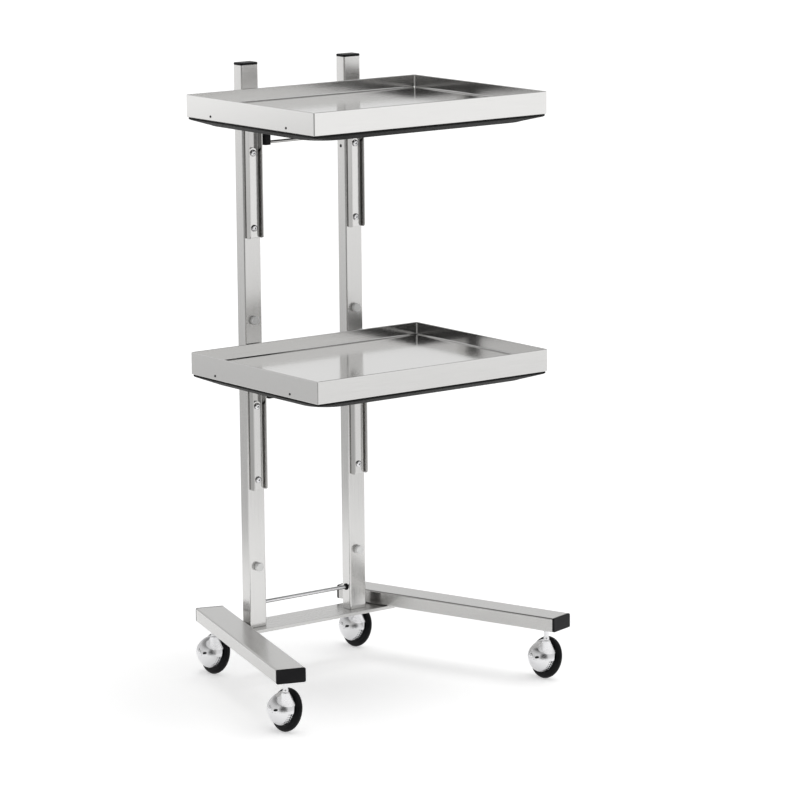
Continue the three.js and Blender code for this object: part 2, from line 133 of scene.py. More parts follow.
# Places on a caster's hood, as (degrees from the axle's outer end, degrees round the axle from straight
# up). The hood's edge runs along its rim, down to the boss round the axle's end, and back up.
HOOD_RIM = 84.8
HOOD_RIM_SPAN = (-4, 95)
HOOD_EDGE = ((62, 97), (44, 104), (34, 112), (24, 118))
HOOD_BOSS = 17.0
HOOD_BOSS_SPAN = (125, 270)
HOOD_BACK = ((19, -64), (27, -40), (40, -18), (60, -8))
HOOD_PAINTED_SHADE = (26, 94)  # middle of the black inlay of painted shade beside the axle's end, where the hood's gap lies in shadow
PAINTED_SHADE_REACH = (7.0, 4.0)  # half its length and half its height, in degrees
PAINTED_SHADE_SLOPE = 0.25  # its rise for each degree of its length
SHOULDER_MIDDLE = (60, 52)
SHOULDER_REACH = (34, 22)  # half the shoulder's width and height, in degrees
HOOD_GRID = 3.6  # degrees between the points of its mesh
HOOD_EDGE_GRID = 2.2  # degrees between the points of its edge

# The camera, at the photo's viewing angle. At azimuth 0 it looks along +Y.
CAMERA_AZIMUTH = math.radians(-36.947)
CAMERA_ELEVATION = math.radians(10.685)
CAMERA_ROLL = -0.009376  # radians
CAMERA_DISTANCE = 7.158
CAMERA_TARGET = Vector((0.1001, -0.02625, 0.5207))
CAMERA_LENS = 177.4  # mm
CAMERA_SENSOR = 36  # mm
CAMERA_FAR_END = 200

# The floor is white near the cart. Each pair is the distance in metres where a change sets in and the
# distance where it is complete.
FLOOR_REACH = 60.0  # half its width
# The floor's glow is painted light: the floor lights the cart though it is no lamp.
FLOOR_GLOW = 0.48
FLOOR_WHITE = 0.9
SIDE_PAINTED_SHADE = 0.22  # painted shade: what both sides lose of the floor's white and glow
SIDE_START = (1.0, 1.5)
SIDE_LEFT_OVER = 0.2  # share of that loss still there in the far distance
SIDE_END = (3.5, 5.5)
LEFT_PAINTED_SHADE = 0.24  # painted shade that the left side loses besides
LEFT_START = (-1.0, -1.5)
BACK_START = (-3.2, -2.2)
FLOOR_NEAR = 0.34  # share of its white and glow that the photographer's side keeps under its painted shade
WEDGE_SPREAD = 0.8  # how far to the side that wedge of painted shade opens, for each metre forward
WEDGE_START = (1.1, 2.6)

# The studio's walls, as (how far a ray goes along a direction, from -1 to 1; brightness).
WALLS_SIDEWAYS = ((-1.0, 0.76), (0.0, 0.90), (1.0, 0.86))
WALLS_OVERHEAD = ((0.42, 1.0), (0.72, 0.36))
WALLS_PHOTOGRAPHER = ((0.86, 1.0), (0.975, 0.04))
WALLS_STRENGTH = 0.92
LAMP_ENERGY = 1.15
LAMP_ANGLE = math.radians(50)
LAMP_TILT = (math.radians(12), math.radians(8), 0)


# ---------------------------------------------------------------- materials
class Nodes:
    """A material's node tree, with short calls for the nodes used here."""

    def __init__(self, name, color, metallic, roughness):
        self.material = bpy.data.materials.new(name)
        self.material.use_nodes = True
        self.tree = self.material.node_tree
        self.shader = self.tree.nodes["Principled BSDF"]
        self.shader.inputs["Base Color"].default_value = (*color, 1)
        self.shader.inputs["Metallic"].default_value = metallic
        self.shader.inputs["Roughness"].default_value = roughness
        self.place = self.tree.nodes.new("ShaderNodeTexCoord").outputs["Object"]

    def link(self, source, target):
        self.tree.links.new(source, target)

    def noise(self, scale, stretch=(1, 1, 1), detail=3.0, roughness=0.5):
        mapping = self.tree.nodes.new("ShaderNodeMapping")
        mapping.inputs["Scale"].default_value = stretch
        self.link(self.place, mapping.inputs["Vector"])
        noise = self.tree.nodes.new("ShaderNodeTexNoise")
        noise.inputs["Scale"].default_value = scale
        noise.inputs["Detail"].default_value = detail
        noise.inputs["Roughness"].default_value = roughness
        self.link(mapping.outputs["Vector"], noise.inputs["Vector"])
        return noise.outputs["Fac"]

    def remap(self, value, low, high, from_low=0.3, from_high=0.7):
        node = self.tree.nodes.new("ShaderNodeMapRange")
        node.inputs["From Min"].default_value = from_low
        node.inputs["From Max"].default_value = from_high
        node.inputs["To Min"].default_value = low
        node.inputs["To Max"].default_value = high
        self.link(value, node.inputs["Value"])
        return node.outputs["Result"]

    def along(self, direction):
        """How far a point lies along the direction, in metres."""
        node = self.tree.nodes.new("ShaderNodeVectorMath")
        node.operation = "DOT_PRODUCT"
        node.inputs[1].default_value = direction
        self.link(self.place, node.inputs[0])
        return node.outputs["Value"]

    def combine(self, operation, first, second):
        """Arithmetic on two values, each a number or another node's output."""
        node = self.tree.nodes.new("ShaderNodeMath")
        node.operation = operation
        for value, socket in zip((first, second), node.inputs):
            if isinstance(value, (int, float)):
                socket.default_value = value
            else:
                self.link(value, socket)
        return node.outputs["Value"]

    def blend(self, factor, first, second):
        node = self.tree.nodes.new("ShaderNodeMix")
        node.data_type = "RGBA"
        node.inputs["A"].default_value = (*first, 1)
        node.inputs["B"].default_value = (*second, 1)
        self.link(factor, node.inputs["Factor"])
        return node.outputs["Result"]

    def bump(self, height, distance, strength=1.0):
        node = self.tree.nodes.new("ShaderNodeBump")
        node.inputs["Strength"].default_value = strength
        node.inputs["Distance"].default_value = distance
        self.link(height, node.inputs["Height"])
        self.link(node.outputs["Normal"], self.shader.inputs["Normal"])

    def color(self, value):
        self.link(value, self.shader.inputs["Base Color"])

    def roughness(self, value):
        self.link(value, self.shader.inputs["Roughness"])


def grey(value):
    return (value, value, value)


def steel_tint(value):
    """A steel grey, a little warm."""
    return (value, value - 0.005, value - 0.015)


def brushed_steel(name, grain, light, dark, smooth, rough):
    """Brushed steel. The grain runs along the axis whose stretch is small."""
    steel = Nodes(name, light, 1.0, smooth)
    fine = steel.noise(1.0, grain, detail=4.0, roughness=0.65)
    broad = steel.noise(9.0, detail=2.0)
    fine_share = steel.combine("MULTIPLY", fine, 0.85)
    worn = steel.combine("ADD", fine_share, steel.combine("MULTIPLY", broad, 0.15))
    steel.roughness(steel.remap(worn, smooth, rough))
    steel.color(steel.blend(steel.remap(fine, 0.0, 1.0), dark, light))
    steel.bump(fine, 0.006 * MM)
    return steel.material


def chrome(name, color, smooth, rough):
    """Bright metal with a slight haze."""
    metal = Nodes(name, color, 1.0, smooth)
    haze = metal.noise(60.0, detail=3.0)
    metal.roughness(metal.remap(haze, smooth, rough))
    metal.bump(metal.noise(350.0, detail=2.0), 0.002 * MM)
    return metal.material


def moulded_plastic(name, color, worn_color, smooth, rough, texture):
    """Grained plastic with a little dust on it."""
    plastic = Nodes(name, color, 0.0, smooth)
    plastic.shader.inputs["Specular IOR Level"].default_value = 0.14
    grain = plastic.noise(texture, detail=3.0, roughness=0.6)
    dust = plastic.noise(35.0, detail=4.0, roughness=0.6)
    plastic.color(plastic.blend(plastic.remap(dust, 0.0, 1.0, 0.45, 0.8), color, worn_color))
    plastic.roughness(plastic.remap(grain, smooth, rough))
    plastic.bump(grain, 0.05 * MM, 0.5)
    return plastic.material


def tyre_rubber():
    rubber = Nodes("tyre_rubber", (0.005, 0.005, 0.006), 0.0, 0.42)
    rubber.shader.inputs["Specular IOR Level"].default_value = 0.12
    grain = rubber.noise(900.0, detail=4.0, roughness=0.7)
    dust = rubber.noise(70.0, detail=5.0, roughness=0.65)
    worn = rubber.remap(dust, 0.0, 1.0, 0.45, 0.85)
    rubber.color(rubber.blend(worn, (0.004, 0.004, 0.005), grey(0.010)))
    rubber.roughness(rubber.remap(grain, 0.32, 0.5))
    rubber.bump(grain, 0.06 * MM, 0.5)
    return rubber.material


# How a piece's coordinates are stretched, so that its grain runs along one axis.
ALONG_Z = (1600, 1600, 14)
ALONG_X = (14, 1600, 1600)
ALONG_Y = (1600, 14, 1600)
NO_GRAIN = (300, 300, 300)
MATERIALS = {
    "post": brushed_steel("post_steel", ALONG_Z, steel_tint(0.70), steel_tint(0.62), 0.14, 0.24),
    "foot": brushed_steel("foot_steel", ALONG_Z, steel_tint(0.62), steel_tint(0.54), 0.16, 0.28),
    "plate": brushed_steel("plate_steel", ALONG_X, steel_tint(0.66), steel_tint(0.57), 0.20, 0.34),
    "tray": brushed_steel("tray_steel", ALONG_X, steel_tint(0.78), steel_tint(0.72), 0.09, 0.16),
    "bracket": brushed_steel("bracket_steel", ALONG_Z, steel_tint(0.58), steel_tint(0.50), 0.10, 0.18),
    "bar": brushed_steel("bar_steel", ALONG_Z, steel_tint(0.74), steel_tint(0.66), 0.12, 0.2),
    "arm": brushed_steel("arm_steel", ALONG_Y, steel_tint(0.62), steel_tint(0.54), 0.18, 0.3),
    "screw": brushed_steel("screw_steel", NO_GRAIN, grey(0.10), grey(0.06), 0.3, 0.45),
    "chrome": chrome("chrome", (0.76, 0.76, 0.77), 0.06, 0.13),
    "cast": chrome("cast_chrome", (0.78, 0.78, 0.79), 0.2, 0.3),
    "plastic": moulded_plastic("black_plastic", (0.006, 0.006, 0.007), grey(0.011), 0.38, 0.5, 700.0),
    "board": moulded_plastic("black_board", grey(0.005), grey(0.010), 0.5, 0.65, 420.0),
    "nylon": moulded_plastic("grey_nylon", (0.92, 0.92, 0.91), (0.84, 0.84, 0.83), 0.3, 0.42, 900.0),
    "rubber": tyre_rubber(),
}

# ---------------------------------------------------------------- mesh helpers
BODY_OF = {node: body for body, nodes in record["behaviour"]["bodies"].items() for node in nodes}


def make_piece(name, bm, material, smooth_angle=32):
    """A new mesh object from bm, facing outward, shaded smooth between its sharp edges."""
    bmesh.ops.recalc_face_normals(bm, faces=bm.faces)
    mesh = bpy.data.meshes.new(name)
    bm.to_mesh(mesh)
    bm.free()
    mesh.materials.append(MATERIALS[material])
    mesh.shade_smooth()
    mesh.set_sharp_from_angle(angle=math.radians(smooth_angle))
    piece = bpy.data.objects.new(name, mesh)
    bpy.context.scene.collection.objects.link(piece)
    flatten = piece.modifiers.new("flat_faces", "WEIGHTED_NORMAL")
    flatten.keep_sharp = True
    return piece


def bevel(piece, width, segments, angle):
    """Rounds the piece's edges sharper than the angle."""
    modifier = piece.modifiers.new("edges", "BEVEL")
    modifier.width = width
    modifier.segments = segments
    modifier.limit_method = "ANGLE"
    modifier.angle_limit = math.radians(angle)
    modifier.harden_normals = True
    piece.modifiers.move(len(piece.modifiers) - 1, 0)
    return piece


def stand_for(piece, *nodes):
    """The piece takes the place of these CAD nodes, on their body."""
    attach(piece, BODY_OF[nodes[0]])
    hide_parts(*nodes)
    return piece


def ride_along(piece, body):
    """The piece has no CAD node of its own, and moves with this body."""
    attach(piece, body)
    return piece


def loft(loops, ring=False):
    """A solid through loops of points, closed at its ends, or joined end to end as a ring. A loop of one
    point closes the shape there."""
    bm = bmesh.new()
    rows = [[bm.verts.new(point) for point in loop] for loop in loops]
    pairs = list(zip(rows, rows[1:]))
    if ring:
        pairs.append((rows[-1], rows[0]))
    for first, second in pairs:
        count = max(len(first), len(second))
        for i in range(count):
            j = (i + 1) % count
            if len(first) == 1:
                bm.faces.new((first[0], second[i], second[j]))
            elif len(second) == 1:
                bm.faces.new((first[i], second[0], first[j]))
            else:
                bm.faces.new((first[i], first[j], second[j], second[i]))
    if not ring:
        for row in (rows[0], rows[-1]):
            if len(row) > 2:
                bm.faces.new(row)
    return bm


def rounded_loop(width, depth, radius, z, steps=6):
    """The points of a rounded rectangle at height z, counter-clockwise."""
    radius = max(radius, 0.05 * MM)
    points = []
    corners = ((1, -1, -90), (1, 1, 0), (-1, 1, 90), (-1, -1, 180))
    for right, back, start in corners:
        x = right * (width / 2 - radius)
        y = back * (depth / 2 - radius)
        for i in range(steps + 1):
            angle = math.radians(start + 90 * i / steps)
            points.append((x + radius * math.cos(angle), y + radius * math.sin(angle), z))
    return points


def stack(width, depth, corner, profile, steps=6):
    """A solid of rounded rectangles. Each profile entry is (inset, height) or (inset, height, corner)."""
    loops = []
    for entry in profile:
        inset, z = entry[:2]
        radius = entry[2] if len(entry) > 2 else max(corner - inset, 0.6 * MM)
        loops.append(rounded_loop(width - 2 * inset, depth - 2 * inset, radius, z, steps=steps))
    return loft(loops)


def arc(centre, radius, start, end, steps):
    """Points of an arc in a plane, with angles in degrees."""
    angles = [math.radians(start + (end - start) * i / steps) for i in range(steps + 1)]
    return [(centre[0] + radius * math.cos(a), centre[1] + radius * math.sin(a)) for a in angles]


def turned(profile, segments=48, ring=False):
    """A solid of revolution about Z from (radius, height) points."""
    loops = []
    for radius, z in profile:
        if radius < 1e-6:
            loops.append([(0, 0, z)])
            continue
        angles = [2 * math.pi * i / segments for i in range(segments)]
        loops.append([(radius * math.cos(a), radius * math.sin(a), z) for a in angles])
    return loft(loops, ring=ring)


def eased(height, edge):
    """The profile of a block with broken edges, for stack."""
    return [
        (edge, 0), (0.3 * edge, 0.3 * edge), (0, edge),
        (0, height - edge), (0.3 * edge, height - 0.3 * edge), (edge, height),
    ]


def rod_profile(radius, length, edge):
    """The profile of a round rod with broken edges, for turned."""
    return [
        (0, 0), (radius - edge, 0), (radius, edge),
        (radius, length - edge), (radius - edge, length), (0, length),
    ]


# Turns that bring a piece's own +Z to the side that it faces.
TO_RIGHT = Matrix.Rotation(math.radians(90), 4, "Y")
TO_LEFT = Matrix.Rotation(math.radians(-90), 4, "Y")
TO_FRONT = Matrix.Rotation(math.radians(90), 4, "X")
TO_BACK = Matrix.Rotation(math.radians(-90), 4, "X")


def middle(node):
    low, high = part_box(node)
    return (low + high) / 2


def size(node):
    low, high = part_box(node)
    return high - low


def at(x, y, z):
    return Matrix.Translation((x, y, z))


def joint(name):
    return next(entry for entry in frame["joints"] if entry["name"] == name)


# ---------------------------------------------------------------- posts and base
def tube(name, width, depth, wall, corner, length, material):
    """A rectangular tube from z = 0 up to its length."""
    inside = (width - 2 * wall, depth - 2 * wall, corner - wall)
    loops = [
        rounded_loop(width, depth, corner, 0),
        rounded_loop(width, depth, corner, length),
        rounded_loop(*inside, length),
        rounded_loop(*inside, 0),
    ]
    return bevel(make_piece(name, loft(loops, ring=True), material), 0.25 * MM, 2, 60)


def end_cap(name, width, depth, corner, head, wall):
    """A push-in cap. Its head stands on z = 0 and its plug goes down into the tube."""
    plug = wall + GAP
    profile = [
        (plug + 0.6 * MM, -CAP_PLUG),
        (plug, MM - CAP_PLUG),
        (plug, -0.1 * MM),
        (0.35 * MM, 0),
        (0, 0.35 * MM),
        (0, head - CAP_EDGE),
        (0.35 * CAP_EDGE, head - 0.35 * CAP_EDGE),
        (CAP_EDGE, head),
    ]
    return make_piece(name, stack(width, depth, corner, profile), "plastic")


def build_posts():
    for side in SIDES:
        node = f"post_{side}"
        low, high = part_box(node)
        width, depth, length = high - low
        post = tube(f"{node}_tube", width, depth, POST_WALL, POST_CORNER, length, "post")
        post.location = middle(node).to_2d().to_3d() + Vector((0, 0, low.z))
        stand_for(post, node)
        cap_node = f"post_cap_{side}"
        cap_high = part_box(cap_node)[1].z
        head = cap_high - high.z - GAP
        cap = end_cap(f"{cap_node}_moulding", width, depth, POST_CORNER, head, POST_WALL)
        cap.location = (post.location.x, post.location.y, cap_high - head)
        stand_for(cap, cap_node)


def build_side_plugs():
    """Small black plugs in the posts' inner faces, below the upper tray."""
    head, peg, depth = 3 * MM, 2.4 * MM, 2 * MM
    profile = [
        (0, -depth), (peg, -depth), (peg, 0), (head, 0),
        (head, 0.2 * MM), (head - 0.5 * MM, 0.5 * MM), (0, 0.6 * MM),
    ]
    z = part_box("upper_tray_pan")[1].z - SIDE_PLUG_DROP
    for side, sign in SIDES.items():
        low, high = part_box(f"post_{side}")
        plug = make_piece(f"post_side_plug_{side}", turned(profile, 32), "plastic")
        x, facing = (high.x, TO_RIGHT) if sign < 0 else (low.x, TO_LEFT)
        plug.matrix_world = at(x, (low.y + high.y) / 2, z) @ facing
        ride_along(plug, "frame")


def build_plate():
    width, depth, height = size("base_plate")
    profile = eased(height, PLATE_EDGE)
    plate = make_piece("base_plate_steel", stack(width, depth, PLATE_CORNER, profile), "plate")
    plate.location = middle("base_plate") - Vector((0, 0, height / 2))
    stand_for(plate, "base_plate")


def build_feet():
    for side in SIDES:
        front = Vector(joint(f"caster_front_{side}_swivel_turn")["pos_m"])
        rear = Vector(joint(f"caster_rear_{side}_swivel_turn")["pos_m"])
        along = (rear - front).normalized()
        start = front - along * STEM_FROM_FRONT
        length = (rear - front).length + STEM_FROM_FRONT + STEM_FROM_REAR
        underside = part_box(f"foot_{side}")[0].z
        turn = Matrix.Rotation(math.atan2(along.y, along.x) - math.pi / 2, 4, "Z")
        place = at(start.x, start.y, underside + FOOT_HEIGHT / 2) @ turn
        tube_start = FOOT_CAP + GAP
        section = (FOOT_WIDTH, FOOT_HEIGHT, FOOT_WALL, FOOT_CORNER)
        foot = tube(f"foot_{side}_tube", *section, length - 2 * tube_start, "foot")
        foot.matrix_world = place @ at(0, tube_start, 0) @ TO_BACK
        stand_for(foot, f"foot_{side}")
        ends = {"front": (FOOT_CAP, TO_FRONT), "rear": (length - FOOT_CAP, TO_BACK)}
        for end, (y, facing) in ends.items():
            node = f"foot_cap_{side}_{end}"
            cap = end_cap(f"{node}_moulding", FOOT_WIDTH, FOOT_HEIGHT, FOOT_CORNER, FOOT_CAP, FOOT_WALL)
            cap.matrix_world = place @ at(0, y, 0) @ facing
            stand_for(cap, node)


def build_tie_rod():
    length, width, _ = size("tie_rod")
    radius = width / 2
    rod = make_piece("tie_rod_bar", turned(rod_profile(radius, length, 0.5 * MM), 32), "chrome")
    rod.matrix_world = Matrix.Translation(middle("tie_rod") - Vector((length / 2, 0, 0))) @ TO_RIGHT
    stand_for(rod, "tie_rod")
    for side in SIDES:
        node = f"tie_rod_grommet_{side}"
        thickness, outside, _ = size(node)
        outer = outside / 2
        inner = radius + GAP
        ring = [
            (inner, 0), (outer - 0.3 * MM, 0), (outer, 0.3 * MM),
            (outer, thickness - 0.6 * MM), (outer - 0.6 * MM, thickness), (inner, thickness),
        ]
        grommet = make_piece(f"{node}_ring", turned(ring, 32, ring=True), "plastic")
        low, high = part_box(node)
        x, facing = (low.x, TO_RIGHT) if side == "left" else (high.x, TO_LEFT)
        grommet.matrix_world = at(x, middle(node).y, middle(node).z) @ facing
        stand_for(grommet, node)


# ---------------------------------------------------------------- trays
def tray_profile(height):
    """The pan's section from the middle of its underside, round the hem and rim, to its floor."""
    hem = TRAY_WALL / 2
    under = TRAY_POCKET + TRAY_FLOOR
    corner = TRAY_INNER_CORNER
    profile = [
        (TRAY_WALL + 1.2 * MM, -under, corner),
        (TRAY_WALL + 0.3 * MM, -under - 0.3 * MM, corner),
        (TRAY_WALL, -under - 1.2 * MM, corner),
    ]
    rounds = arc((hem, -height + hem), hem, 0, -180, 8) + arc((hem, -hem), hem, 180, 0, 8)
    for inset, z in rounds:
        profile.append((inset, z, TRAY_CORNER - 0.4 * inset))
    fillet = (TRAY_WALL + TRAY_FILLET, -TRAY_POCKET + TRAY_FILLET)
    for inset, z in arc(fillet, TRAY_FILLET, 180, 270, 6):
        profile.append((inset, z, corner + 0.6 * (inset - TRAY_WALL)))
    return profile


def socket_screw(radius, height, socket, shank=0.0, shank_length=0.0):
    """A button head with a hexagon socket. The head stands on z = 0, and a shank may go down from it."""
    count = 36
    angles = [2 * math.pi * i / count for i in range(count)]

    def round_loop(r, z):
        return [(r * math.cos(a), r * math.sin(a), z) for a in angles]

    def hexagon(r, z):
        loop = []
        for a in angles:
            across = r / math.cos((a % (math.pi / 3)) - math.pi / 6)
            loop.append((across * math.cos(a), across * math.sin(a), z))
        return loop

    dome = [(1.0, 0.0), (1.0, 0.22), (0.96, 0.45), (0.86, 0.7), (0.7, 0.88), (0.52, 0.97)]
    loops = []
    if shank_length:
        loops += [round_loop(shank, -shank_length), round_loop(shank, 0)]
    loops += [round_loop(radius * r, height * z) for r, z in dome]
    rim = height * 0.98
    floor = height * 0.35
    loops += [hexagon(socket * 1.06, rim), hexagon(socket, rim - 0.15 * height)]
    loops.append(hexagon(socket * 0.96, floor))
    return loft(loops)


def build_pan(level):
    node = f"{level}_tray_pan"
    low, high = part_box(node)
    width, depth, height = high - low
    sheet = stack(width, depth, TRAY_CORNER, tray_profile(height), steps=8)
    pan = make_piece(f"{node}_sheet", sheet, "tray", 25)
    pan.location = (middle(node).x, middle(node).y, high.z)
    stand_for(pan, node)
    for side, sign in SIDES.items():
        for index, back in enumerate(SKIRT_SCREWS):
            name = f"{level}_skirt_screw_{side}_{index}"
            screw = make_piece(name, socket_screw(*SKIRT_SCREW), "screw", 45)
            x, facing = (low.x, TO_LEFT) if sign < 0 else (high.x, TO_RIGHT)
            screw.matrix_world = at(x, high.y - back, high.z - SKIRT_SCREW_DROP) @ facing
            ride_along(screw, f"{level}_tray")


def build_board(level):
    """A thin tub with upright edges that slope in to a smaller underside, open at the top."""
    node = f"{level}_tray_board"
    width, depth, height = size(node)
    turn = height - BOARD_LIP
    corner, under_corner = BOARD_CORNERS
    edge = 1.2 * MM
    profile = [
        (BOARD_SLOPE + 2 * edge, 0, under_corner),
        (BOARD_SLOPE + 0.4 * edge, 0.15 * edge, under_corner),
        (BOARD_SLOPE - 1.6 * edge, 1.1 * edge, under_corner - edge),
        (1.6 * edge, turn - 0.9 * edge, corner + 2 * edge),
        (0.25 * edge, turn + 0.2 * edge, corner),
        (0, turn + edge, corner),
        (0, height - 0.4 * MM, corner),
        (0.4 * MM, height, corner),
        (BOARD_WALL, height, corner),
        (BOARD_WALL, turn + BOARD_WALL, corner),
        (BOARD_WALL + BOARD_SLOPE, BOARD_WALL, under_corner),
    ]
    board = make_piece(f"{node}_moulding", stack(width, depth, corner, profile, steps=12), "board")
    board.location = middle(node) - Vector((0, 0, height / 2))
    stand_for(board, node)


def channel_section(width, front):
    """The channel's section at z = 0, open towards -Y, its flanges ending at y = front."""
    half = width / 2
    outer = CHANNEL_WALL + CHANNEL_BEND
    inner = CHANNEL_BEND
    points = [(-half, front), (-half + CHANNEL_WALL, front)]
    points += arc((-half + outer, -outer), inner, 180, 90, 5)
    points += arc((half - outer, -outer), inner, 90, 0, 5)
    points += [(half - CHANNEL_WALL, front), (half, front)]
    points += arc((half - outer, -outer), outer, 0, 90, 6)
    points += arc((-half + outer, -outer), outer, 90, 180, 6)
    return points


def build_channel(level, side):
    node = f"{level}_bracket_{side}"
    low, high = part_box(node)
    width, depth, height = high - low
    steps = 6
    nose = []
    for i in range(steps + 1):
        angle = math.radians(90 * i / steps)
        nose.append((CHANNEL_NOSE * (1 - math.cos(angle)), CHANNEL_NOSE * (1 - math.sin(angle))))
    nose += [(height - z, retreat) for z, retreat in reversed(nose)]
    rows = []
    for z, retreat in nose:
        rows.append([(x, y, z) for x, y in channel_section(width, -depth + retreat)])
    channel = bevel(make_piece(f"{node}_pressing", loft(rows), "bracket"), 0.3 * MM, 2, 55)
    channel.location = (middle(node).x, high.y, low.z)
    stand_for(channel, node)


def build_backing_bar(level, side):
    node = f"{level}_backing_bar_{side}"
    low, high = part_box(node)
    width, thickness, height = high - low
    radius = width / 2
    outline = [(-radius, 0), (radius, 0)] + arc((0, height - radius), radius, 0, 180, 24)
    rows = [[(x, y, z) for x, z in outline] for y in (0, -thickness)]
    bar = bevel(make_piece(f"{node}_strip", loft(rows), "bar"), 0.5 * MM, 3, 50)
    bar.location = (middle(node).x, high.y, low.z)
    stand_for(bar, node)


def build_bracket_screws(level, side):
    radius, head, socket = BRACKET_SCREW
    for end in ("top", "bottom"):
        node = f"{level}_bracket_screw_{side}_{end}"
        low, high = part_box(node)
        mesh = socket_screw(radius, head, socket, BRACKET_SHANK, (high.y - low.y) - head - 0.2 * MM)
        screw = make_piece(f"{node}_button", mesh, "chrome", 45)
        screw.matrix_world = at(middle(node).x, low.y + head + 0.1 * MM, middle(node).z) @ TO_FRONT
        stand_for(screw, node)


def build_bumper(level, side):
    node = f"{level}_bumper_{side}"
    low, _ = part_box(node)
    edge = 1.3 * MM
    peg, depth = BUMPER_PEG
    profile = [
        (0, -depth), (peg - 0.4 * MM, -depth), (peg, 0.4 * MM - depth), (peg, 0),
        (BUMPER_RADIUS - 0.5 * MM, 0), (BUMPER_RADIUS, 0.5 * MM),
    ]
    profile += arc((BUMPER_RADIUS - edge, BUMPER_HEAD - edge), edge, 0, 90, 5)
    profile.append((0, BUMPER_HEAD))
    bumper = make_piece(f"{node}_moulding", turned(profile, 40), "nylon", 50)
    bumper.matrix_world = at(middle(node).x, low.y + BUMPER_HEAD, middle(node).z) @ TO_FRONT
    stand_for(bumper, node)


def build_pivot_pin(level, side):
    node = f"{level}_pivot_pin_{side}"
    length, across, _ = size(node)
    outer, edge = across / 2, 0.5 * MM
    profile = [
        (0, 0), (outer - edge, 0), (outer, edge), (outer, PIN_HEAD), (PIN_RADIUS, PIN_HEAD),
        (PIN_RADIUS, length - PIN_HEAD), (outer, length - PIN_HEAD), (outer, length - edge),
        (outer - edge, length), (0, length),
    ]
    pin = make_piece(f"{node}_rivet", turned(profile, 32), "chrome", 40)
    pin.matrix_world = Matrix.Translation(middle(node) - Vector((length / 2, 0, 0))) @ TO_RIGHT
    stand_for(pin, node)


def build_release(level):
    node = f"{level}_release_bar"
    low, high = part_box(node)
    body = BODY_OF[node]
    width, depth, height = BLOCK
    corner, edge = 3 * MM, 1.0 * MM
    blocks = []
    for side, sign in SIDES.items():
        mesh = stack(width, depth, corner, eased(height, edge))
        block = make_piece(f"{level}_release_block_{side}", mesh, "plastic")
        x = low.x + width / 2 if sign < 0 else high.x - width / 2
        block.location = (x, middle(node).y, low.z)
        ride_along(block, body)
        blocks.append(block)
        screw = make_piece(f"{level}_release_screw_{side}", socket_screw(*BLOCK_SCREW), "plastic", 45)
        screw.matrix_world = at(x, low.y, low.z + BLOCK_SCREW_HEIGHT) @ TO_FRONT
        ride_along(screw, body)
    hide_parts(node)
    start, end = (block.location.x for block in blocks)
    profile = rod_profile(ROD_RADIUS, end - start, 0.4 * MM)
    rod = make_piece(f"{level}_release_rod", turned(profile, 32), "bracket")
    rod.matrix_world = at(start, middle(node).y, low.z + ROD_HEIGHT) @ TO_RIGHT
    ride_along(rod, body)


def finish_arms(level, side):
    """The arms keep their CAD shape, with broken edges and a brushed finish."""
    arm = frame["nodes"][f"{level}_arm_{side}"]
    arm.data.materials.clear()
    arm.data.materials.append(MATERIALS["arm"])
    bevel(arm, 0.35 * MM, 2, 50)


# ---------------------------------------------------------------- casters
def on_sphere(polar, around, radius):
    """A point about the dome's centre: polar degrees from the axle's outer end, and around it from
    straight up."""
    theta, phi = math.radians(polar), math.radians(around)
    return Vector((
        -math.cos(theta),
        -math.sin(theta) * math.sin(phi),
        math.sin(theta) * math.cos(phi),
    )) * radius


def flat(polar, around):
    """The same direction on a flat map, in degrees from the axle's end."""
    return Vector((polar * math.sin(math.radians(around)), polar * math.cos(math.radians(around))))


def from_flat(point, radius):
    """A point about the dome's centre, in the direction of a point on the flat map."""
    return on_sphere(point.length, math.degrees(math.atan2(point.x, point.y)), radius)


def softened(points, rounds):
    """A closed line with its corners cut again and again."""
    for _ in range(rounds):
        cut = []
        for first, second in zip(points, points[1:] + points[:1]):
            cut += [first.lerp(second, 0.25), first.lerp(second, 0.75)]
        points = cut
    return points


def evenly(points, spacing):
    """A closed line with points a fixed distance apart."""
    ends = points[1:] + points[:1]
    total = sum((b - a).length for a, b in zip(points, ends))
    count = round(total / spacing)
    result, walked, goal = [], 0.0, 0.0
    for a, b in zip(points, ends):
        length = (b - a).length
        while goal < walked + length - 1e-9 and len(result) < count:
            result.append(a.lerp(b, (goal - walked) / length))
            goal += total / count
        walked += length
    return result


def is_inside(point, outline):
    """Whether a point lies inside a closed line, by how many of its sides cross a ray to the right."""
    inside = False
    for a, b in zip(outline, outline[1:] + outline[:1]):
        if (a.y > point.y) != (b.y > point.y):
            if point.x < a.x + (b.x - a.x) * (point.y - a.y) / (b.y - a.y):
                inside = not inside
    return inside


def hood_outline():
    """The hood's edge on the flat map."""

    def sweep(polar, span, steps):
        start, end = span
        return [flat(polar, start + (end - start) * i / steps) for i in range(steps + 1)]

    outline = sweep(HOOD_RIM, HOOD_RIM_SPAN, 18)
    outline += [flat(*corner) for corner in HOOD_EDGE]
    outline += sweep(HOOD_BOSS, HOOD_BOSS_SPAN, 12)
    outline += [flat(*corner) for corner in HOOD_BACK]
    return evenly(softened(outline, 3), HOOD_EDGE_GRID)


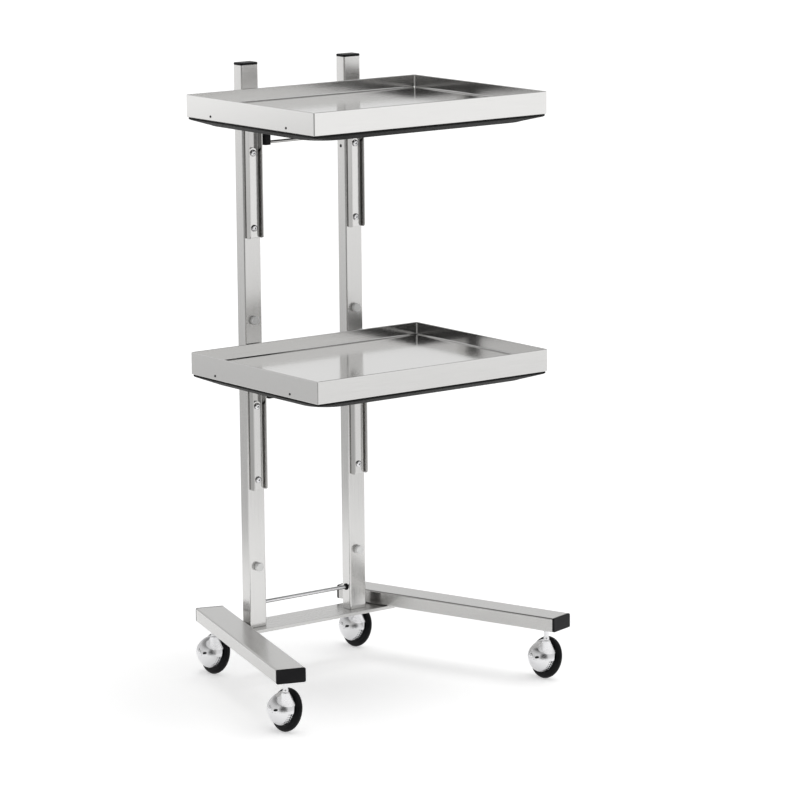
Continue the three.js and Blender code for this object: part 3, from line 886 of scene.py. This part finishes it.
def hood_mesh():
    """The hood is a shell between two spheres, cut to the outline on the flat map."""
    outline = hood_outline()
    row_height = 0.866 * HOOD_GRID
    clearance = 0.55 * HOOD_GRID
    reach = 30  # enough rows and columns for the whole map
    inner = []
    for row in range(-reach, reach + 1):
        for column in range(-reach, reach + 1):
            point = Vector((column * HOOD_GRID + (row % 2) * HOOD_GRID / 2, row * row_height))
            if point.length < HOOD_RIM and is_inside(point, outline):
                if min((point - edge).length for edge in outline) > clearance:
                    inner.append(point)
    edge_loop = list(range(len(outline)))
    only_inside, tolerance = 1, 1e-6
    filled = delaunay_2d_cdt(outline + inner, [], [edge_loop], only_inside, tolerance)
    found, triangles = filled[0], filled[2]
    bm = bmesh.new()
    outside = [bm.verts.new(from_flat(point, HOOD_OUTSIDE)) for point in found]
    inside = [bm.verts.new(from_flat(point, HOOD_INSIDE)) for point in found]
    directed = set()
    for a, b, c in triangles:
        bm.faces.new((outside[a], outside[b], outside[c]))
        bm.faces.new((inside[c], inside[b], inside[a]))
        directed.update(((a, b), (b, c), (c, a)))
    for a, b in directed:
        if (b, a) not in directed:
            bm.faces.new((outside[b], outside[a], inside[a], inside[b]))
    return bm


def neck_mesh(dome, top):
    """The caster's neck: a shoulder that grows out of the hood up to a groove, and the stem above it,
    which widens to a collar under the foot. dome brings the dome's frame into the stem's."""
    segments = 40
    angles = [2 * math.pi * i / segments for i in range(segments)]
    across, upward = SHOULDER_REACH

    def on_hood(share, lift):
        """An oval on the hood's outside, a share of the shoulder's size."""
        loop = []
        for a in angles:
            reach = Vector((across * math.cos(a), upward * math.sin(a)))
            loop.append(dome @ from_flat(flat(*SHOULDER_MIDDLE) + share * reach, HOOD_OUTSIDE + lift))
        return loop

    def level(radius, z):
        return [Vector((radius * math.sin(a), -radius * math.cos(a), z)) for a in angles]

    foot = on_hood(1.0, -0.2 * MM)
    crown = level(SHOULDER_RADIUS, SHOULDER_TOP - MM)
    loops = [on_hood(0.02, -1.4 * MM), on_hood(0.5, -1.4 * MM), on_hood(0.97, -1.2 * MM), foot]
    steps = 8
    for step in range(1, steps + 1):
        rise = step / steps
        draw = rise ** 0.75  # drawn in faster than it rises
        ring = []
        for low, high in zip(foot, crown):
            point = low.lerp(high, draw)
            point.z = low.z + (high.z - low.z) * rise
            ring.append(point)
        loops.append(ring)
    groove = NECK_RADIUS - 0.6 * MM
    bead = NECK_RADIUS + 0.5 * MM
    loops += [
        level(SHOULDER_RADIUS - 0.7 * MM, SHOULDER_TOP),
        level(groove, SHOULDER_TOP + 0.2 * MM),
        level(groove, SHOULDER_TOP + 1.4 * MM),
        level(bead, SHOULDER_TOP + 2.0 * MM),
        level(bead, SHOULDER_TOP + 4.5 * MM),
        level(NECK_RADIUS - 0.4 * MM, SHOULDER_TOP + 6 * MM),
        level(NECK_RADIUS - 0.2 * MM, top - 9 * MM),
        level(NECK_RADIUS + 1 * MM, top - 6 * MM),
        level(COLLAR_RADIUS, top - 4 * MM),
        level(COLLAR_RADIUS, top - 0.5 * MM),
        level(COLLAR_RADIUS - 0.5 * MM, top),
        level(STEM_RADIUS, top),
        level(STEM_RADIUS, top + STEM_LENGTH - 0.5 * MM),
        level(STEM_RADIUS - 0.5 * MM, top + STEM_LENGTH),
    ]
    return loft(loops)


def hub_mesh():
    """The chrome dome and the wheel's centre, turned about the axle with its outer end at the bottom.
    The dome's edge is notched all round."""
    half = TYRE_WIDTH / 2
    start = math.asin(HUB_BORE / DOME_RADIUS)
    end = math.acos((half + GAP + DOME_SHIFT) / DOME_RADIUS)
    steps, last_plain = 28, 22
    profile = []
    for i in range(steps + 1):
        angle = start + (end - start) * i / steps
        notch = DOME_NOTCH_DEPTH if i > last_plain else 0
        profile.append((DOME_RADIUS * math.sin(angle), DOME_SHIFT - DOME_RADIUS * math.cos(angle), notch))
    dish = half - 2.2 * MM  # floor of the dish in the wheel's open face
    open_face = [
        (HUB_RADIUS, -half - GAP), (HUB_RADIUS, half - 0.5 * MM), (HUB_RADIUS - 0.5 * MM, half),
        (HUB_RADIUS - 1.6 * MM, half), (HUB_RADIUS - 2.6 * MM, dish + 0.4 * MM), (20 * MM, dish),
        (13 * MM, dish + 0.6 * MM), (10.5 * MM, dish + MM), (9.5 * MM, half - 0.3 * MM),
        (8.5 * MM, half), (HUB_BORE, half),
    ]
    profile += [(radius, z, 0) for radius, z in open_face]
    count = 4 * DOME_NOTCHES
    loops = []
    for radius, z, notch in profile:
        loop = []
        for i in range(count):
            angle = 2 * math.pi * i / count
            reach = radius - (notch if i % 4 < 2 else 0)
            loop.append((reach * math.cos(angle), reach * math.sin(angle), z))
        loops.append(loop)
    return loft(loops, ring=True)


def tyre_mesh():
    """A round-shouldered tyre with a fine moulding line round its middle."""
    half = TYRE_WIDTH / 2
    steps = 24
    profile = [(TYRE_BORE, -half + 0.4 * MM), (TYRE_BORE + 0.5 * MM, -half)]
    for i in range(steps + 1):
        angle = math.pi * i / steps
        drop = TYRE_SHOULDER * (1 - math.sin(angle) ** 0.7)
        sunk = 0 if i == steps // 2 else TYRE_RIDGE
        profile.append((WHEEL_RADIUS - drop - sunk, -half * math.cos(angle)))
    profile += [(TYRE_BORE + 0.5 * MM, half), (TYRE_BORE, half - 0.4 * MM)]
    return turned(profile, 72, ring=True)


def axle_mesh(left, right):
    """The axle with a domed end on each side, turned about the axle from its left end."""
    left_seat = left + 1.6 * MM
    right_seat = right - 1.2 * MM
    profile = [
        (0, left - 1.2 * MM), (0.45 * AXLE_END, left - 1.0 * MM), (0.8 * AXLE_END, left - 0.4 * MM),
        (AXLE_END, left + 0.6 * MM), (AXLE_END, left_seat), (AXLE_RADIUS, left_seat),
        (AXLE_RADIUS, right_seat), (AXLE_END, right_seat), (AXLE_END, right),
        (0.75 * AXLE_END, right + 0.7 * MM), (0, right + MM),
    ]
    return turned(profile, 40)


def painted_shade_mesh():
    """A black oval of painted shade on the hood, where the gap beside the axle's end lies in shadow: a thin dished
    inlay on the hood's sphere.
    """
    half_length, half_height = PAINTED_SHADE_REACH
    segments = 32
    dished = ((1.0, -0.6 * MM), (1.0, 0.12 * MM), (0.85, 0.2 * MM), (0.6, 0.1 * MM), (0.3, 0.05 * MM))
    loops = []
    for share, lift in dished:
        loop = []
        for i in range(segments):
            angle = 2 * math.pi * i / segments
            long = half_length * share * math.cos(angle)
            short = half_height * share * math.sin(angle)
            place = flat(*HOOD_PAINTED_SHADE) + Vector((long, short + PAINTED_SHADE_SLOPE * long))
            loop.append(from_flat(place, HOOD_OUTSIDE + lift))
        loops.append(loop)
    return loft(loops)


def caster_frames(name):
    """Places of a caster's parts: its stem on the floor, the middle of its wheel, and the dome's centre.
    The axle leans down from the dome's side."""
    stem = Vector(joint(f"caster_{name}_swivel_turn")["pos_m"])
    wheel = joint(f"wheel_{name}_spin")
    axis = Vector(wheel["axis"])
    turn = Matrix.Rotation(math.atan2(axis.y, axis.x), 4, "Z")
    lean = Matrix.Rotation(math.asin(-axis.z), 4, "Y")
    stand = at(stem.x, stem.y, 0) @ turn
    about = at(*wheel["pos_m"]) @ turn @ lean
    return stand, about, about @ at(DOME_SHIFT, 0, 0)


def caster_patterns(stand, dome):
    """One piece for each part of a caster, to be copied for the others."""
    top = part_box("foot_left")[0].z - GAP
    neck = neck_mesh(stand.inverted() @ dome, top)
    axle = axle_mesh(DOME_SHIFT - HOOD_OUTSIDE, TYRE_WIDTH / 2 + 1.2 * MM)
    return {
        "hood": bevel(make_piece("caster_hood", hood_mesh(), "cast", 50), 0.55 * MM, 3, 50),
        "neck": make_piece("caster_neck", neck, "cast", 50),
        # A black inlay painted as the shade in the hood's gap beside the axle's end.
        "painted_shade": make_piece("caster_painted_shade", painted_shade_mesh(), "plastic", 50),
        "axle": make_piece("caster_axle", axle, "chrome", 50),
        "hub": make_piece("caster_hub", hub_mesh(), "chrome", 30),
        "tyre": make_piece("caster_tyre", tyre_mesh(), "rubber", 40),
    }


def build_casters():
    names = [f"{end}_{side}" for end in ("front", "rear") for side in SIDES]
    stand, _, dome = caster_frames(names[0])
    patterns = caster_patterns(stand, dome)
    for name in names:
        stand, about, dome = caster_frames(name)
        places = {
            "hood": dome,
            "painted_shade": dome,
            "neck": stand,
            "axle": about @ TO_RIGHT,
            "hub": about @ TO_RIGHT,
            "tyre": about @ TO_RIGHT,
        }
        pieces = {}
        for part, place in places.items():
            piece = patterns[part].copy()
            piece.name = f"caster_{name}_{part}_piece"
            bpy.context.scene.collection.objects.link(piece)
            piece.matrix_world = place
            pieces[part] = piece
        stand_for(pieces["hood"], f"caster_{name}_swivel")
        for part in ("neck", "axle"):
            ride_along(pieces[part], f"caster_{name}")
        # The black inlay of painted shade turns with the caster.
        ride_along(pieces["painted_shade"], f"caster_{name}")
        stand_for(pieces["hub"], f"caster_{name}_hub")
        stand_for(pieces["tyre"], f"caster_{name}_tyre")
    for pattern in patterns.values():
        bpy.data.objects.remove(pattern)


# ---------------------------------------------------------------- room, light and camera
def camera_back():
    """From the cart towards the camera."""
    a, e = CAMERA_AZIMUTH, CAMERA_ELEVATION
    return Vector((math.sin(a) * math.cos(e), -math.cos(a) * math.cos(e), math.sin(e)))


def camera_right():
    """To the right, as the camera sees it."""
    return Vector((math.cos(CAMERA_AZIMUTH), math.sin(CAMERA_AZIMUTH), 0))


def build_floor():
    """A plain white sweep. Its glow is painted light that lights the cart from below, and its white and glow
    are darkened far off to the sides and on the photographer's side of the room: painted shade."""
    sweep = Nodes("floor", grey(FLOOR_WHITE), 0.0, 0.8)
    sweep.shader.inputs["Specular IOR Level"].default_value = 0.0
    nearer = sweep.along((math.sin(CAMERA_AZIMUTH), -math.cos(CAMERA_AZIMUTH), 0))
    rightward = sweep.along(camera_right())
    aside = sweep.combine("ABSOLUTE", rightward, 0.0)
    # Painted shade on the floor, growing towards the sides, the left and the photographer's side.
    setting_in = sweep.remap(aside, 0.0, SIDE_PAINTED_SHADE, *SIDE_START)
    sides = sweep.combine("MULTIPLY", setting_in, sweep.remap(aside, 1.0, SIDE_LEFT_OVER, *SIDE_END))
    shade = sweep.combine("ADD", sides, sweep.remap(rightward, 0.0, LEFT_PAINTED_SHADE, *LEFT_START))
    shade = sweep.combine("MULTIPLY", shade, sweep.remap(nearer, 0.0, 1.0, *BACK_START))
    white = sweep.remap(shade, FLOOR_WHITE, 0.0, 0.0, 1.0)
    wedge = sweep.combine("SUBTRACT", nearer, sweep.combine("MULTIPLY", aside, WEDGE_SPREAD))
    white = sweep.combine("MULTIPLY", white, sweep.remap(wedge, 1.0, FLOOR_NEAR, *WEDGE_START))
    sweep.color(white)
    # The painted glow follows the floor's white and its painted shade.
    sweep.link(white, sweep.shader.inputs["Emission Color"])
    sweep.shader.inputs["Emission Strength"].default_value = FLOOR_GLOW
    corners = ((-1, -1), (1, -1), (1, 1), (-1, 1))
    bm = bmesh.new()
    bm.faces.new([bm.verts.new((x * FLOOR_REACH, y * FLOOR_REACH, 0)) for x, y in corners])
    mesh = bpy.data.meshes.new("floor")
    bm.to_mesh(mesh)
    bm.free()
    mesh.materials.append(sweep.material)
    floor = bpy.data.objects.new("floor", mesh)
    bpy.context.scene.collection.objects.link(floor)


def build_camera():
    back = camera_back()
    right = camera_right()
    up = back.cross(right)
    cosine, sine = math.cos(CAMERA_ROLL), math.sin(CAMERA_ROLL)
    right, up = right * cosine + up * sine, up * cosine - right * sine
    data = bpy.data.cameras.new("camera")
    data.lens = CAMERA_LENS
    data.sensor_width = CAMERA_SENSOR
    data.clip_end = CAMERA_FAR_END
    camera = bpy.data.objects.new("camera", data)
    bpy.context.scene.collection.objects.link(camera)
    place = Matrix((right, up, back)).transposed().to_4x4()
    place.translation = CAMERA_TARGET + back * CAMERA_DISTANCE
    camera.matrix_world = place
    bpy.context.scene.camera = camera


def build_world():
    """A pale studio all round: darker overhead, and a dark patch where the photographer stands."""
    world = bpy.data.worlds.new("studio")
    bpy.context.scene.world = world
    world.use_nodes = True
    tree = world.node_tree
    background = tree.nodes["Background"]
    coordinates = tree.nodes.new("ShaderNodeTexCoord")

    def shade(direction, stops):
        """Brightness by how far a ray goes along the direction, from -1 to 1."""
        along = tree.nodes.new("ShaderNodeVectorMath")
        along.operation = "DOT_PRODUCT"
        along.inputs[1].default_value = direction
        tree.links.new(coordinates.outputs["Generated"], along.inputs[0])
        half = tree.nodes.new("ShaderNodeMath")
        half.operation = "MULTIPLY_ADD"
        half.inputs[1].default_value = 0.5
        half.inputs[2].default_value = 0.5
        tree.links.new(along.outputs["Value"], half.inputs[0])
        ramp = tree.nodes.new("ShaderNodeValToRGB")
        ramp.color_ramp.interpolation = "EASE"
        elements = ramp.color_ramp.elements
        while len(elements) < len(stops):
            elements.new(0.5)
        for element, (reach, value) in zip(elements, stops):
            element.position = (reach + 1) / 2
            element.color = (value, value, value, 1)
        tree.links.new(half.outputs["Value"], ramp.inputs["Fac"])
        return ramp.outputs["Color"]

    def times(first, second):
        node = tree.nodes.new("ShaderNodeVectorMath")
        node.operation = "MULTIPLY"
        tree.links.new(first, node.inputs[0])
        tree.links.new(second, node.inputs[1])
        return node.outputs["Vector"]

    sides = shade(camera_right(), WALLS_SIDEWAYS)
    overhead = shade((0, 0, 1), WALLS_OVERHEAD)
    photographer = shade(camera_back(), WALLS_PHOTOGRAPHER)
    tree.links.new(times(times(sides, overhead), photographer), background.inputs["Color"])
    background.inputs["Strength"].default_value = WALLS_STRENGTH


def build_lights():
    """A very broad lamp overhead, for soft contact shadows."""
    data = bpy.data.lights.new("overhead", "SUN")
    data.energy = LAMP_ENERGY
    data.angle = LAMP_ANGLE
    lamp = bpy.data.objects.new("overhead", data)
    bpy.context.scene.collection.objects.link(lamp)
    lamp.rotation_euler = LAMP_TILT


# ---------------------------------------------------------------- assembly
build_posts()
build_side_plugs()
build_plate()
build_feet()
build_tie_rod()
for level in LEVELS:
    build_pan(level)
    build_board(level)
    build_release(level)
    for side in SIDES:
        build_channel(level, side)
        build_backing_bar(level, side)
        build_bracket_screws(level, side)
        build_bumper(level, side)
        build_pivot_pin(level, side)
        finish_arms(level, side)
build_casters()
build_floor()
build_camera()
build_world()
build_lights()
bpy.context.scene.view_settings.view_transform = "Standard"
